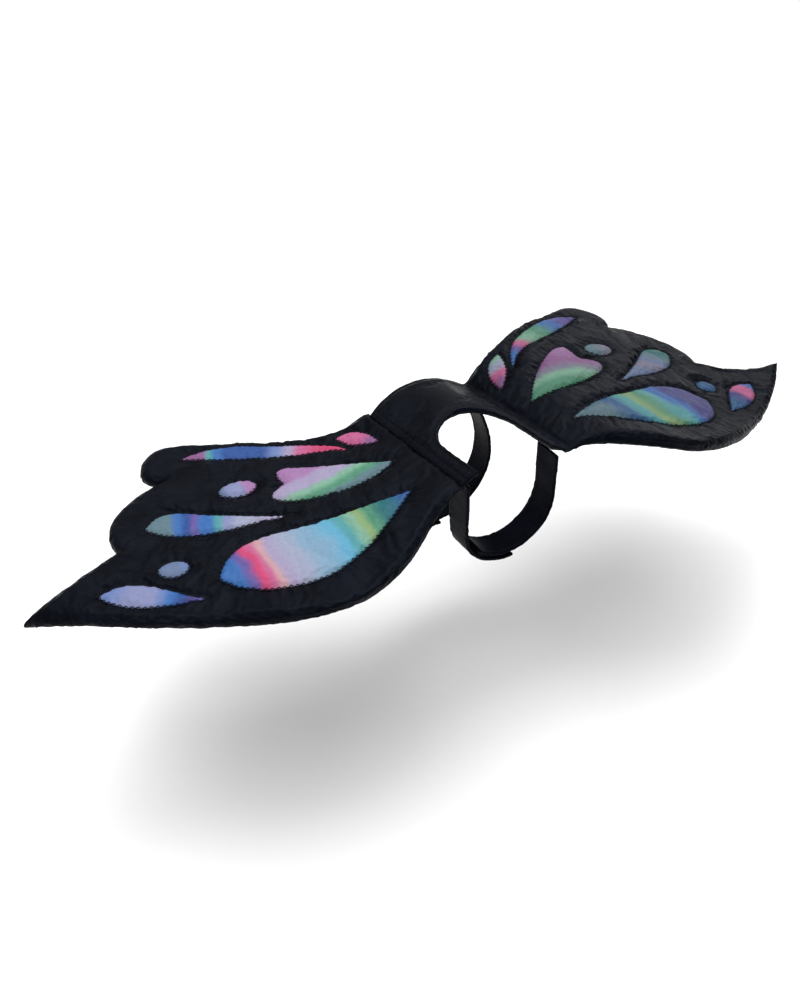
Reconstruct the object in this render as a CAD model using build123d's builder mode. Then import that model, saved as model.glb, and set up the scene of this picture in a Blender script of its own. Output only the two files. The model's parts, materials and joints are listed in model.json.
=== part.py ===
"""Fairy wings: padded butterfly wings on a yoke, worn on the back and held by two straps.

Frame: +X is the wearer's left, -Y is forward (towards the head), +Z is up.
The origin is under the yoke's lining, on the wearer's back.
"""
import math
import os

from build123d import *

os.makedirs("parts", exist_ok=True)

# ---------------------------------------------------------------- driving dimensions (mm)
ROOT_X = 52.0            # inner edge of a wing, beside its root seam
QUILT = 13.0             # thickness of the quilted wing
PINCH = 3.2              # thickness where the quilting is pinched at the root seam
CLOTH = 1.2              # one skin of lined satin
LAYER_GAP = 0.1          # air between batting and cloth
SEAM_SHARE = 0.01        # the top skin meets the under skin just above the middle layer
RIM_INSET = 1.5          # cloth folded in along the wing's edge
BATTING_INSET = 7.0      # batting stops short of the edge and leaves the wire's channel

PITCH = -0.12            # the wearer's back falls away to the rear: rise per mm of Y
SEAM_Z = -12.0           # height of the root seam at Y = 0

YOKE_HALF = 48.6         # yoke's half width
YOKE_THICK = 7.0         # padded yoke in the middle
YOKE_EDGE = 3.2          # and at its sewn sides
YOKE_SIDE_REAR = 42.0    # rear end of its sides
YOKE_REAR = 50.0         # rear of its rounded back edge
YOKE_FRONT = -104.0
NECK_HALF = 34.0         # half width of the cut-out for the neck
NECK_REAR = -22.0        # rear of that cut-out, at the nape
YOKE_BATTING_INSET = 4.0

STRAP = 2.4              # thickness of a strap, two layers of cloth
STRAP_WIDTH = 26.0
TAPE = 1.1               # thickness of the hook tape and of the loop tape
TAPE_WIDTH = 20.0
TAPE_GAP = 0.4           # between the two tapes' backings, where the hooks sit in the loops
GLUE_LINE = 0.05         # between a tape and the strap that it is sewn to

# Each strap hangs as a U: x of its sewn ends, their height, middle of the round bottom,
# its radius, and its place along Y.
STRAPS = {
    "neck": {"root_x": 41.5, "root_z": -2.4, "centre_z": -41.0, "radius": 41.5, "y": -91.0},
    "belly": {"root_x": 40.0, "root_z": -15.4, "centre_z": -70.0, "radius": 57.0, "y": 22.0},
}
LAP_START = -132.0       # angles about the U's centre, 0 at the wearer's left and -90 below
LAP_END = -84.0

WIRE_R = 1.0             # bendable wire along the leading edge
WIRE_INSET = 4.0         # how far inside the edge it lies
WIRE_RUNS = 12           # short runs that follow the edge
CAP_R = 1.7              # soft cap over a wire's end
CAP_LENGTH = 7.0

# ---------------------------------------------------------------- the wing's pattern, flat in X and Y
LEADING = [(52, -106), (76, -115), (102, -131), (150, -146), (200, -138), (260, -107), (320, -70), (370, -28)]
MARGIN = [(370, -28), (332, -18), (289, 0)]
MIDDLE_LOBE = [(289, 0), (288, 24), (268, 50), (228, 67)]
REAR = [(228, 67), (240, 88), (221, 111), (188, 103), (140, 82), (92, 58), (52, 47)]

# Panels: each is a closed outline of curves, and a curve's ends are the panel's points.
PANELS = {
    "large_leaf": [
        [(76, -76), (112, -64), (155, -54), (205, -47), (236, -72)],
        [(236, -72), (208, -104), (160, -114), (112, -98), (76, -76)],
    ],
    "teardrop": [
        [(157, -36), (186, -17), (214, 4), (246, 23), (263, 13)],
        [(263, 13), (242, -10), (203, -25), (157, -36)],
    ],
    "heart": [
        [(66, -32), (86, -9), (112, 13), (142, 28), (147, 7)],
        [(147, 7), (163, -5), (130, -29), (98, -36), (66, -32)],
    ],
    "long_leaf": [
        [(82, 17), (94, 40), (130, 66), (180, 88), (206, 87)],
        [(206, 87), (176, 68), (138, 48), (108, 36), (82, 17)],
    ],
    "tip_teardrop": [
        [(249, -86), (268, -66), (290, -45), (318, -44)],
        [(318, -44), (308, -61), (282, -77), (249, -86)],
    ],
    "root_leaf": [
        [(61, 4), (62, 22), (71, 39), (83, 42)],
        [(83, 42), (80, 27), (73, 14), (61, 4)],
    ],
}
OVALS = {                # centre, half lengths and turn in degrees
    "small_oval": ((181, 22), (16, 11), 8),
    "tip_oval": ((260, -43), (12, 9.5), 15),
}
PANEL_NAMES = [*PANELS, *OVALS]
# ---------------------------------------------------------------- how each wing hangs at rest
# Height of the wing's middle layer, by its distance from the centre line.
STATIONS = [52, 90, 150, 210, 270, 330, 380]
HANG = {
    "right": [0, -12, -20, -24, -28, -29, -47],
    "left": [0, 12, 5, -12, -33, -44, -38],
}
# What the rear of the wing adds to that: the right one sags, and the left one lifts.
REAR_HANG = {
    "right": [0, -8, -5, -3, -1, 0, 0],
    "left": [0, 9, 7, 8, 12, 7, 2],
}
SECTIONS = {-165: 0.0, -55: 0.0, 30: 0.75, 130: 1.0}   # Y of a section: share of the rear's lift
SIDE = {"right": -1, "left": 1}


def seam_height(y):
    """Height of the root seam, which falls to the rear."""
    return SEAM_Z + PITCH * y


def rear_share(y):
    """How much of the rear's lift a place at this Y has."""
    places = sorted(SECTIONS)
    for low, high in zip(places, places[1:]):
        if y <= high:
            part = (y - low) / (high - low)
            return SECTIONS[low] + part * (SECTIONS[high] - SECTIONS[low])
    return SECTIONS[places[-1]]


def station_heights(wing, y):
    """Heights of the wing's middle layer at the stations, for one Y.
    The seam's fall dies out over the first third of the wing."""
    heights = []
    for x, hang, lift in zip(STATIONS, HANG[wing], REAR_HANG[wing]):
        fade = max(0.0, 1 - (x - ROOT_X) / 110)
        heights.append(SEAM_Z + PITCH * y * fade + hang + rear_share(y) * lift)
    return heights


def height(wing, x, y):
    """Height of the wing's middle layer at any place, on a smooth curve through the stations."""
    heights = station_heights(wing, y)
    index = max(i for i in range(len(STATIONS) - 1) if i == 0 or x >= STATIONS[i])
    slopes = []
    for place in (index, index + 1):
        before = max(place - 1, 0)
        after = min(place + 1, len(STATIONS) - 1)
        slopes.append((heights[after] - heights[before]) / (STATIONS[after] - STATIONS[before]))
    run = STATIONS[index + 1] - STATIONS[index]
    part = (x - STATIONS[index]) / run
    rise = part * part * (3 - 2 * part)
    level = heights[index] + rise * (heights[index + 1] - heights[index])
    bow = part * (1 - part) * run * (slopes[0] * (1 - part) - slopes[1] * part)
    return level + bow


def half_thickness(x, inset):
    """Half of the quilt's thickness, pinched at the root seam, less an inset."""
    grown = min(1.0, max(0.0, (x - ROOT_X) / 38))
    full = (PINCH + (QUILT - PINCH) * math.sin(grown * math.pi / 2)) / 2
    return max(0.25, full - inset)


def layer(wing, low_share, low_inset, high_share, high_inset):
    """A bent slab between two layers of the wing. A share of 1 is the top face, -1 the underside,
    and an inset brings that face towards the middle."""
    sections = []
    for y in SECTIONS:
        heights = station_heights(wing, y)
        low = []
        high = []
        for x, z in zip(STATIONS, heights):
            low.append((SIDE[wing] * x, z + low_share * half_thickness(x, low_inset)))
            high.append((SIDE[wing] * x, z + high_share * half_thickness(x, high_inset)))
        with BuildSketch(Plane.XZ.offset(-y)) as section:
            with BuildLine():
                Spline(*high)
                Line(high[-1], low[-1])
                Spline(*low[::-1])
                Line(low[0], high[0])
            make_face()
        sections.append(section.sketch.face())
    with BuildPart() as slab:
        loft(sections=sections)
    return slab.part


def flat(wing, points):
    """Pattern points on one side of the centre line."""
    return [(SIDE[wing] * x, y) for x, y in points]


def direction(start, end):
    """Unit direction from one point to another."""
    length = math.dist(start, end)
    return ((end[0] - start[0]) / length, (end[1] - start[1]) / length)


def end_direction(near, middle, far):
    """Direction in which a curve through three points leaves the first of them."""
    return direction((0, 0), (4 * middle[0] - 3 * near[0] - far[0], 4 * middle[1] - 3 * near[1] - far[1]))


def travel(curve):
    """Direction of travel at each point of a curve, or of a line between two points."""
    if len(curve) == 2:
        return [direction(*curve)] * 2
    start = end_direction(*curve[:3])
    last = end_direction(*curve[:-4:-1])
    inner = [direction(before, after) for before, after in zip(curve, curve[2:])]
    return [start] + inner + [(-last[0], -last[1])]


def brought_in(curves, inset):
    """A closed chain of curves moved in by an inset, with mitred corners. It runs counterclockwise."""
    courses = [travel(curve) for curve in curves]
    moved = []
    for index, (curve, course) in enumerate(zip(curves, courses)):
        arriving = courses[index - 1][-1]
        leaving = courses[(index + 1) % len(curves)][0]
        points = []
        for place, (point, way) in enumerate(zip(curve, course)):
            other = way
            if place == 0:
                other = arriving
            if place == len(curve) - 1:
                other = leaving
            share = inset / (1 + way[0] * other[0] + way[1] * other[1])
            points.append((point[0] - share * (way[1] + other[1]), point[1] + share * (way[0] + other[0])))
        moved.append(points)
    return moved


def wing_pattern(wing, inset=0.0):
    """The wing's outline as a face, brought in by an inset."""
    root_line = [REAR[-1], LEADING[0]]
    curves = brought_in([LEADING, MARGIN, MIDDLE_LOBE, REAR, root_line], inset)
    with BuildSketch(Plane.XY) as pattern:
        with BuildLine():
            for curve in curves[:-1]:
                Spline(*flat(wing, curve))
            Line(*flat(wing, curves[-1]))
        make_face()
    return pattern.sketch


def panel_pattern(wing, panel):
    """A panel's outline as a face."""
    with BuildSketch(Plane.XY) as pattern:
        if panel in OVALS:
            centre, radii, turn = OVALS[panel]
            with Locations(Location((SIDE[wing] * centre[0], centre[1], 0), (0, 0, SIDE[wing] * turn))):
                Ellipse(*radii)
        else:
            with BuildLine():
                for curve in PANELS[panel]:
                    Spline(*flat(wing, curve))
            make_face()
    return pattern.sketch


PRISM = 200.0            # tall enough to cut through any layer


def prism(sketch):
    """The sketch as a tall block that reaches through every layer."""
    return extrude(sketch, amount=PRISM, both=True, mode=Mode.PRIVATE)


def finish(part, name):
    """Label a piece and write it."""
    part.label = name
    export_step(part, f"parts/{name}.step")
    size = [round(value, 1) for value in part.bounding_box().size]
    print(name, "solids", len(part.solids()), "volume", round(part.volume), "size", size)


# ---------------------------------------------------------------- wings
def make_shells(wing):
    """The wing's two skins, each a shallow tray, and the batting between them."""
    outline = prism(wing_pattern(wing))
    cavity = prism(wing_pattern(wing, RIM_INSET))
    core = prism(wing_pattern(wing, BATTING_INSET))
    upper = layer(wing, SEAM_SHARE, 0, 1, 0)
    lower = layer(wing, -1, 0, 0, 0)
    upper_hollow = layer(wing, -1, 0, 1, CLOTH) & cavity
    lower_hollow = layer(wing, -1, CLOTH, 1, 0) & cavity
    filling = layer(wing, -1, CLOTH + LAYER_GAP, 1, CLOTH + LAYER_GAP)
    windows = [prism(panel_pattern(wing, name)) for name in PANEL_NAMES]

    with BuildPart() as top_shell:
        add(upper)
        add(outline, mode=Mode.INTERSECT)
        add(upper_hollow, mode=Mode.SUBTRACT)
        add(windows, mode=Mode.SUBTRACT)
    finish(top_shell.part, f"{wing}_wing_top_shell")

    with BuildPart() as under_shell:
        add(lower)
        add(outline, mode=Mode.INTERSECT)
        add(lower_hollow, mode=Mode.SUBTRACT)
    finish(under_shell.part, f"{wing}_wing_under_shell")

    with BuildPart() as batting:
        add(filling)
        add(core, mode=Mode.INTERSECT)
    finish(batting.part, f"{wing}_wing_batting")


def make_panels(wing):
    """The shimmering panels, set in the top skin's windows."""
    skin = layer(wing, 1, CLOTH, 1, 0)
    for name in PANEL_NAMES:
        window = prism(panel_pattern(wing, name))
        with BuildPart() as panel:
            add(skin)
            add(window, mode=Mode.INTERSECT)
        finish(panel.part, f"{wing}_{name}_panel")


def make_wire(wing):
    """The bendable wire in the channel along the leading edge, with a soft cap on each end."""
    channel = brought_in([LEADING, MARGIN, [REAR[-1], LEADING[0]]], WIRE_INSET)[0][1:]
    with BuildLine(mode=Mode.PRIVATE) as course:
        Spline(*channel)
    places = [course.line @ (step / WIRE_RUNS) for step in range(WIRE_RUNS + 1)]
    route = [Vector(SIDE[wing] * p.X, p.Y, height(wing, p.X, p.Y)) for p in places]
    radii = []
    for before, corner, after in zip(route, route[1:], route[2:]):
        turn = math.radians((corner - before).get_angle(after - corner))
        shorter = min((corner - before).length, (after - corner).length)
        radii.append(0.45 * shorter / math.tan(turn / 2))
    with BuildPart() as wire:
        with BuildLine() as line:
            FilletPolyline(*route, radius=radii)
        with BuildSketch(Plane(origin=route[0], z_dir=route[1] - route[0])):
            Circle(WIRE_R)
        sweep(path=line.line)
    finish(wire.part, f"{wing}_wing_wire")

    with BuildPart() as caps:
        for end, inner in ((route[0], route[1]), (route[-1], route[-2])):
            outward = (end - inner).normalized()
            seat = Plane(origin=end - outward * CAP_LENGTH * 0.7, z_dir=outward)
            with BuildSketch(seat):
                Circle(CAP_R)
                Circle(WIRE_R, mode=Mode.SUBTRACT)
            extrude(amount=CAP_LENGTH * 0.7)
            with BuildSketch(seat.offset(CAP_LENGTH * 0.7)):
                Circle(CAP_R)
            extrude(amount=CAP_LENGTH * 0.3)
    finish(caps.part, f"{wing}_wing_wire_caps")


# ---------------------------------------------------------------- yoke
def yoke_layer(low_share, low_inset, high_share, high_inset):
    """A slab of the yoke's arch, as layer() makes one of a wing."""
    sections = []
    for y in (YOKE_FRONT - 10, YOKE_REAR + 10):
        low = []
        high = []
        for step in range(-6, 7):
            part = step / 6
            x = part * (YOKE_HALF + 0.5)
            middle = seam_height(y) + (YOKE_THICK / 2 - SEAM_Z) * (1 - part ** 2)
            half = (YOKE_EDGE + (YOKE_THICK - YOKE_EDGE) * (1 - part ** 4)) / 2
            low.append((x, middle + low_share * (half - low_inset)))
            high.append((x, middle + high_share * (half - high_inset)))
        with BuildSketch(Plane.XZ.offset(-y)) as section:
            with BuildLine():
                Spline(*high)
                Line(high[-1], low[-1])
                Spline(*low[::-1])
                Line(low[0], high[0])
            make_face()
        sections.append(section.sketch.face())
    with BuildPart() as slab:
        loft(sections=sections, ruled=True)
    return slab.part


def yoke_pattern(inset=0.0):
    """The yoke lies behind the neck, with an arm on each side of it."""
    crotch = NECK_REAR - NECK_HALF
    with BuildSketch(Plane.XY) as pattern:
        with BuildLine():
            Polyline((-YOKE_HALF, YOKE_SIDE_REAR), (-YOKE_HALF, YOKE_FRONT), (-NECK_HALF, YOKE_FRONT))
            Line((-NECK_HALF, YOKE_FRONT), (-NECK_HALF, crotch))
            ThreePointArc((-NECK_HALF, crotch), (0, NECK_REAR), (NECK_HALF, crotch))
            Polyline((NECK_HALF, crotch), (NECK_HALF, YOKE_FRONT), (YOKE_HALF, YOKE_FRONT))
            Line((YOKE_HALF, YOKE_FRONT), (YOKE_HALF, YOKE_SIDE_REAR))
            ThreePointArc((YOKE_HALF, YOKE_SIDE_REAR), (0, YOKE_REAR), (-YOKE_HALF, YOKE_SIDE_REAR))
        make_face()
        if inset:
            offset(amount=-inset, kind=Kind.INTERSECTION)
    return pattern.sketch


def make_yoke():
    """Cover, lining and batting of the yoke."""
    outline = prism(yoke_pattern())
    cavity = prism(yoke_pattern(RIM_INSET))
    core = prism(yoke_pattern(YOKE_BATTING_INSET))
    upper = yoke_layer(SEAM_SHARE, 0, 1, 0)
    lower = yoke_layer(-1, 0, 0, 0)
    upper_hollow = yoke_layer(-1, 0, 1, CLOTH) & cavity
    lower_hollow = yoke_layer(-1, CLOTH, 1, 0) & cavity
    filling = yoke_layer(-1, CLOTH + LAYER_GAP, 1, CLOTH + LAYER_GAP)

    with BuildPart() as cover:
        add(upper)
        add(outline, mode=Mode.INTERSECT)
        add(upper_hollow, mode=Mode.SUBTRACT)
    finish(cover.part, "yoke_cover")

    with BuildPart() as lining:
        add(lower)
        add(outline, mode=Mode.INTERSECT)
        add(lower_hollow, mode=Mode.SUBTRACT)
    finish(lining.part, "yoke_lining")

    with BuildPart() as batting:
        add(filling)
        add(core, mode=Mode.INTERSECT)
    finish(batting.part, "yoke_batting")


# ---------------------------------------------------------------- straps
def smooth(low, high, value):
    """0 before low, 1 after high, and a smooth rise between them."""
    part = min(1.0, max(0.0, (value - low) / (high - low)))
    return part * part * (3 - 2 * part)


def strap_course(strap, start, end, lift=0.0, outer=False):
    """Places along a strap's middle layer, as (x, z) and the outward direction there.
    The outer half swells past the tapes before the lap."""
    size = STRAPS[strap]
    swell = STRAP + 2 * TAPE + TAPE_GAP + 2 * GLUE_LINE
    count = max(3, round(abs(end - start) / 9))
    course = []
    for step in range(count + 1):
        angle = start + (end - start) * step / count
        radius = size["radius"] + lift
        if outer:
            radius += swell * smooth(-175, LAP_START - 4, angle)
        way = (math.cos(math.radians(angle)), math.sin(math.radians(angle)))
        course.append(((radius * way[0], size["centre_z"] + radius * way[1]), way))
    return course


def ribbon(course, thickness, width, y):
    """A band that follows a course."""
    half = thickness / 2
    inner = [(x - half * way[0], z - half * way[1]) for (x, z), way in course]
    outer = [(x + half * way[0], z + half * way[1]) for (x, z), way in course]
    with BuildPart() as band:
        with BuildSketch(Plane.XZ.offset(-y)):
            with BuildLine():
                Spline(*inner)
                Line(inner[-1], outer[-1])
                Spline(*outer[::-1])
                Line(outer[0], inner[0])
            make_face()
        extrude(amount=width / 2, both=True)
    return band.part


def strap_root(strap, side):
    """The strap's way down from the yoke to the round bottom."""
    size = STRAPS[strap]
    places = []
    for share in (0.0, 0.35, 0.7):
        x = size["root_x"] + (size["radius"] - size["root_x"]) * math.sin(share * math.pi / 2)
        z = size["root_z"] + (size["centre_z"] - size["root_z"]) * share
        slope = (size["radius"] - size["root_x"]) * math.cos(share * math.pi / 2) * math.pi / 2
        way = direction((0, 0), (size["root_z"] - size["centre_z"], slope))
        places.append(((side * x, z), (side * way[0], way[1])))
    return places


def make_strap(strap):
    """Both halves of a strap, and the tapes that close it. The wearer's right half laps outside."""
    y = STRAPS[strap]["y"]
    right = strap_root(strap, -1) + strap_course(strap, -180, LAP_END, outer=True)
    left = strap_root(strap, 1) + strap_course(strap, 0, LAP_START)
    finish(ribbon(right, STRAP, STRAP_WIDTH, y), f"{strap}_strap_right")
    finish(ribbon(left, STRAP, STRAP_WIDTH, y), f"{strap}_strap_left")

    sewn = STRAP / 2 + GLUE_LINE + TAPE / 2
    loops = strap_course(strap, LAP_END - 3, LAP_START + 3, lift=sewn)
    hooks = strap_course(strap, LAP_END - 3, LAP_START + 3, lift=sewn + TAPE + TAPE_GAP)
    finish(ribbon(loops, TAPE, TAPE_WIDTH, y), f"{strap}_strap_loop_tape")
    finish(ribbon(hooks, TAPE, TAPE_WIDTH, y), f"{strap}_strap_hook_tape")


for side in ("right", "left"):
    make_shells(side)
    make_panels(side)
    make_wire(side)
make_yoke()
for strap_name in STRAPS:
    make_strap(strap_name)
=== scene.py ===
# %% [markdown]
# # Fairy wings
# A pair of quilted butterfly wings that a small pet wears on its back. Each wing is two layers of black
# satin over soft batting, sewn together round every shimmering panel, so the satin swells between the seams
# and gathers along them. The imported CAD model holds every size. It is loaded first, and the
# cloth is then made over it: outlines and heights are read from its pieces.

# %% Load the frame
import json
import math

import bpy
import numpy as np
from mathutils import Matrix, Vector, kdtree, noise
from mathutils.bvhtree import BVHTree
from mathutils.geometry import delaunay_2d_cdt


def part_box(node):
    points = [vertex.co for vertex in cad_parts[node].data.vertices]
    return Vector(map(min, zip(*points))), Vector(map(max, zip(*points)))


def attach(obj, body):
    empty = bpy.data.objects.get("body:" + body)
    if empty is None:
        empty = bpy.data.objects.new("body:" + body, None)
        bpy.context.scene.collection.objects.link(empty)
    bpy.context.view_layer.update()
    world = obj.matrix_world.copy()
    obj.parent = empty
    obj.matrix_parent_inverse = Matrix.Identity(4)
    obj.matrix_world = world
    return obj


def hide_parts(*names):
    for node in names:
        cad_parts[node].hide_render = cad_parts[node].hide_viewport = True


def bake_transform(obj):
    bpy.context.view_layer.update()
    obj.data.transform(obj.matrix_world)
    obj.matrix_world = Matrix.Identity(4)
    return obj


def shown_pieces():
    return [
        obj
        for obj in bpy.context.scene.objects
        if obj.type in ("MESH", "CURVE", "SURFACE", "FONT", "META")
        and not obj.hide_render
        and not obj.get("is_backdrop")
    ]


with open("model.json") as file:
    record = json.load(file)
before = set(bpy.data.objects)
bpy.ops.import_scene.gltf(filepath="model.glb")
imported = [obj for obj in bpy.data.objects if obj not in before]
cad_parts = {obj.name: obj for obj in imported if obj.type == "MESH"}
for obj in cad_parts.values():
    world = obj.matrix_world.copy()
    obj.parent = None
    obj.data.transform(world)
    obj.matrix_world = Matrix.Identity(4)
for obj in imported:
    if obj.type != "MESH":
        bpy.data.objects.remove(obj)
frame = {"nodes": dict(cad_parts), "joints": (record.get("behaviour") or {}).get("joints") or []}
bpy.context.view_layer.update()

MM = 0.001
SIDES = {"right": -1, "left": 1}
PANELS = (
    "large_leaf", "teardrop", "heart", "long_leaf",
    "tip_teardrop", "root_leaf", "small_oval", "tip_oval",
)

# %% [markdown]
# ## Camera, floor and light
# The wings are seen from the front, a little to the wearer's right and well above, as a person looks down at
# a small pet. They are worn, so they float as high as the pet's back would be, and the floor takes
# their soft shadows. A broad lamp as wide as a bright sky lights the whole floor evenly, and three
# smaller ones give satin its long, soft highlights.

# %% Camera
camera = bpy.data.objects.new("camera", bpy.data.cameras.new("camera"))
bpy.context.scene.collection.objects.link(camera)
camera.data.lens = 39.6
azimuth, elevation = math.radians(-30.05), math.radians(37)
level = math.cos(elevation)
back = Vector((math.sin(azimuth) * level, -math.cos(azimuth) * level, math.sin(elevation)))
camera.location = (-0.4244, -0.6600, 0.4931)
camera.rotation_euler = back.to_track_quat("Z", "Y").to_euler()
camera.data.clip_end = 20
bpy.context.scene.camera = camera
print("camera looks down by", round(math.degrees(elevation)), "degrees")

# %% Floor and lamps
FLOOR_Z = -0.235


def lamp(name, kind, place, power, size):
    """A soft lamp that looks at the wings. A sky lamp's size is an angle, a square lamp's is its side."""
    light = bpy.data.lights.new(name, kind)
    light.energy = power
    if kind == "SUN":
        light.angle = size
    else:
        light.size = size
    holder = bpy.data.objects.new(name, light)
    bpy.context.scene.collection.objects.link(holder)
    holder.location = place
    holder.rotation_euler = Vector(place).to_track_quat("Z", "Y").to_euler()


bpy.ops.object.select_all(action="DESELECT")
bpy.ops.mesh.primitive_plane_add(size=12, location=(0, 2, FLOOR_Z))
floor = bpy.context.active_object
floor.name = "floor"
floor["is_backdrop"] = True
lamp("broad_sky", "SUN", (0.1, 0.3, 1.5), 2.6, math.radians(75))
lamp("overhead", "AREA", (0.0, 0.25, 1.5), 9, 0.8)
lamp("side", "AREA", (-1.6, -0.6, 1.0), 6, 0.9)
lamp("far_side", "AREA", (1.5, 0.9, 0.9), 8, 0.9)
world = bpy.data.worlds.new("room")
world.use_nodes = True
world.node_tree.nodes["Background"].inputs["Color"].default_value = (1, 1, 1, 1)
world.node_tree.nodes["Background"].inputs["Strength"].default_value = 0.3
bpy.context.scene.world = world
bpy.context.scene.view_settings.view_transform = "Standard"
print("floor at", FLOOR_Z)

# %% [markdown]
# ## Reading the pattern
# A sewing pattern is a set of flat outlines. Those of the wings are already in the CAD pieces: the rim of
# a panel's top face is that panel's outline. The triangles that face up are collected, and an edge that only
# one of them uses lies on the rim. Following those edges from end to end gives the outline in order.

# %% Outline of a CAD piece
FACES_UP = 0.3               # least upward part of the direction that a top triangle faces


def rim_of(node, facing):
    """Outline of a CAD piece seen from above (1) or below (-1), as x, y points, counterclockwise."""
    mesh = frame["nodes"][node].data
    mesh.calc_loop_triangles()
    places = [(round(v.co.x, 6), round(v.co.y, 6)) for v in mesh.vertices]
    edges = set()
    for triangle in mesh.loop_triangles:
        if triangle.normal.z * facing > FACES_UP:
            corners = [places[i] for i in triangle.vertices]
            edges.update((a, b) for a, b in zip(corners, corners[1:] + corners[:1]) if a != b)
    onward = {a: b for a, b in edges if (b, a) not in edges}
    start = min(onward)
    loop = [start]
    while onward[loop[-1]] != start:
        loop.append(onward[loop[-1]])
    loop = np.array(loop)
    after = np.roll(loop, -1, axis=0)
    area = np.sum(loop[:, 0] * after[:, 1] - after[:, 0] * loop[:, 1])
    return loop if area > 0 else loop[::-1]


def corners_of(loop, sharp=28):
    """Places in the loop where it turns by more than so many degrees."""
    arriving = loop - np.roll(loop, 1, axis=0)
    leaving = np.roll(loop, -1, axis=0) - loop
    across = arriving[:, 0] * leaving[:, 1] - arriving[:, 1] * leaving[:, 0]
    turn = np.arctan2(across, (arriving * leaving).sum(1))
    return [i for i in range(len(loop)) if abs(math.degrees(turn[i])) > sharp]


def evenly(loop, step):
    """The same loop with points an even step apart, and its corners kept."""
    marks = corners_of(loop) or [0]
    spaced = []
    for mark, following in zip(marks, marks[1:] + [marks[0] + len(loop)]):
        stretch = loop[np.arange(mark, following + 1) % len(loop)]
        run = np.concatenate([[0], np.cumsum(np.linalg.norm(np.diff(stretch, axis=0), axis=1))])
        count = max(1, round(run[-1] / step))
        goal = np.linspace(0, run[-1], count + 1)[:-1]
        spaced.append(np.column_stack([np.interp(goal, run, stretch[:, k]) for k in (0, 1)]))
    return np.concatenate(spaced)


def inward(loop):
    """Unit directions that point into a counterclockwise loop, at each of its points."""
    along = np.roll(loop, -1, axis=0) - np.roll(loop, 1, axis=0)
    along /= np.linalg.norm(along, axis=1)[:, None] + 1e-12
    return np.column_stack([-along[:, 1], along[:, 0]])


wing_rims = {wing: rim_of(f"{wing}_wing_under_shell", -1) for wing in SIDES}
panel_rims = {(wing, name): rim_of(f"{wing}_{name}_panel", 1) for wing in SIDES for name in PANELS}
for wing, rim in wing_rims.items():
    print(wing, "wing's outline has", len(rim), "points")

# %% [markdown]
# The wing isn't flat: it droops, lifts and twists. The height of its top and its underside at any
# place is found by dropping a ray onto the CAD skins. Halfway between the two is the middle layer,
# and the batting lifts the cloth by as much on both sides of it.

# %% Heights of the skins
REACHES = (0, 0.3, 0.8, 1.6, 3.2, 6.4)       # millimetres beside a place where cloth is looked for


def tree_of(nodes):
    """A search tree of the triangles of several CAD pieces."""
    points, triangles = [], []
    for node in nodes:
        mesh = frame["nodes"][node].data
        mesh.calc_loop_triangles()
        start = len(points)
        points += [v.co.copy() for v in mesh.vertices]
        triangles += [[start + i for i in t.vertices] for t in mesh.loop_triangles]
    return BVHTree.FromPolygons(points, triangles)


def drop(tree, x, y, facing):
    """Height at which a ray from above (1) or below (-1) meets the tree.
    Beside an edge it looks a little further away, on all sides."""
    for reach in REACHES:
        for eighth in range(8 if reach else 1):
            turn = eighth * math.pi / 4
            step = Vector((math.cos(turn), math.sin(turn), 0)) * reach * MM
            hit = tree.ray_cast(Vector((x, y, facing)) + step, Vector((0, 0, -facing)))[0]
            if hit is not None:
                return hit.z
    raise ValueError(f"no cloth near {x}, {y}")


def levels(points, top_tree, low_tree):
    """Height of the middle layer and half the thickness, at each flat point."""
    top = np.array([drop(top_tree, x, y, 1) for x, y in points])
    low = np.array([drop(low_tree, x, y, -1) for x, y in points])
    return (top + low) / 2, (top - low) / 2


# %% [markdown]
# ## A quilted pad
# Quilting is two skins with batting between them, held down along seams. The flat pattern is
# cut into small triangles whose edges follow every seam. The skins then rise away from the middle layer,
# steeply beside a seam and hardly at all further off, the way stuffed cloth does. Cloth made of even
# triangles also wrinkles without favouring a direction.

# %% Distance from a seam
CLOTH_STEP = 2.6 * MM        # size of the cloth's triangles
EDGE_ROLL = 9 * MM           # the quilt is fully thick this far from its edge
SEAM_ROLL = 11 * MM          # and this far from a seam
SEAM_PINCH = 0.5             # share of the thickness that is left at a seam
SEAM_STEP = 0.6 * MM         # a distance is taken to the nearest of points this far apart


def seam_places(loop, points):
    """For each point: how far it is from the loop, and the nearest place on the loop."""
    fine = evenly(loop, SEAM_STEP)
    tree = kdtree.KDTree(len(fine))
    for i, (x, y) in enumerate(fine):
        tree.insert((x, y, 0), i)
    tree.balance()
    found = [tree.find((x, y, 0)) for x, y in points]
    return np.array([f[2] for f in found]), np.array([f[0][:2] for f in found])


def swell(distance, roll):
    """0 at a seam and 1 from a certain distance on, round like the side of a roll."""
    share = np.clip(distance / roll, 0, 1)
    return np.sqrt(1 - (1 - share) ** 2)


# %% Cutting the pattern
RINGS = (0.5, 1.3, 2.6)      # rows of points beside the edge, in millimetres, where the cloth turns over
ROOM = 0.62                  # a filling point keeps this share of a step from the seams


def lattice(loop, step):
    """Points in even triangles over a loop's box."""
    low, high = loop.min(0), loop.max(0)
    rows = np.arange(low[1], high[1], step * math.sqrt(3) / 2)
    columns = np.arange(low[0], high[0], step)
    return np.array([(x + (step / 2 if r % 2 else 0), y) for r, y in enumerate(rows) for x in columns])


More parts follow.
